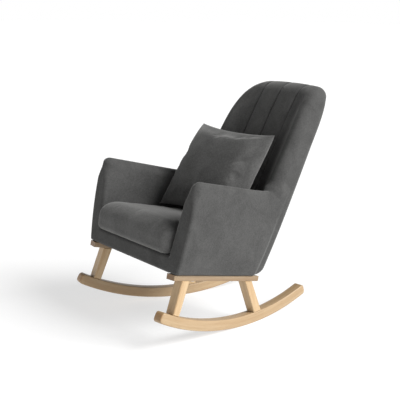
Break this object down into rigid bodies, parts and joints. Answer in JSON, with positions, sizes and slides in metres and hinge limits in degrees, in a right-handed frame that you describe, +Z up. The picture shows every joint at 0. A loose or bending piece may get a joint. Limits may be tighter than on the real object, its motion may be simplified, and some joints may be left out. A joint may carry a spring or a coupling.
{
  "type": "rocking chair",
  "caption": "Upholstered rocking chair with a high reclined back, padded arms, a loose seat cushion, a scatter cushion and curved wooden rockers.",
  "frame": {"origin": "on the floor, below the middle of the chair", "axes": "+X to the sitter's left, -Y forwards, the way the chair faces, +Z up"},
  "size_m": [0.7052, 0.9632, 0.9729],
  "materials": {
    "velvet": "short pile velvet, charcoal grey",
    "oak": "light oak, satin lacquer",
    "pine": "sawn, bare",
    "steel": "zinc plated",
    "webbing": "woven"
  },
  "bodies": {
    "chair": {"back_post_left": "pine", "back_post_right": "pine", "rear_seat_rail": "pine", "lumbar_rail": "pine", "back_top_rail": "pine", "back_web_1": "webbing", "back_web_2": "webbing", "back_web_3": "webbing", "back_web_4": "webbing", "side_seat_rail_left": "pine", "arm_rail_left": "pine", "arm_post_left": "pine", "side_seat_rail_right": "pine", "arm_rail_right": "pine", "arm_post_right": "pine", "front_seat_rail": "pine", "seat_spring_1": "steel", "seat_spring_2": "steel", "seat_spring_3": "steel", "seat_spring_4": "steel", "seat_deck": "webbing", "dust_cover": "webbing", "arm_pad_left": "velvet", "arm_pad_right": "velvet", "front_pad": "velvet", "back_pad": "velvet", "rocker_left": "oak", "bearer_left": "oak", "leg_front_left": "oak", "bearer_dowel_front_left": "pine", "rocker_dowel_front_left": "pine", "bearer_bolt_front_left": "steel", "bolt_washer_front_left": "steel", "leg_rear_left": "oak", "bearer_dowel_rear_left": "pine", "rocker_dowel_rear_left": "pine", "bearer_bolt_rear_left": "steel", "bolt_washer_rear_left": "steel", "rocker_right": "oak", "bearer_right": "oak", "leg_front_right": "oak", "bearer_dowel_front_right": "pine", "rocker_dowel_front_right": "pine", "bearer_bolt_front_right": "steel", "bolt_washer_front_right": "steel", "leg_rear_right": "oak", "bearer_dowel_rear_right": "pine", "rocker_dowel_rear_right": "pine", "bearer_bolt_rear_right": "steel", "bolt_washer_rear_right": "steel"},
    "seat_cushion": {"seat_cushion": "velvet"},
    "scatter_cushion": {"scatter_cushion": "velvet"}
  },
  "joints": [
    {"name": "seat_cushion_lift", "type": "slide", "parent": "chair", "child": "seat_cushion", "axis": [0, 0.2079, 0.9781], "range_m": [0, 0.25]},
    {"name": "scatter_cushion_lift", "type": "slide", "parent": "seat_cushion", "child": "scatter_cushion", "axis": [0, 0.2079, 0.9781], "range_m": [0, 0.3]}
  ]
}
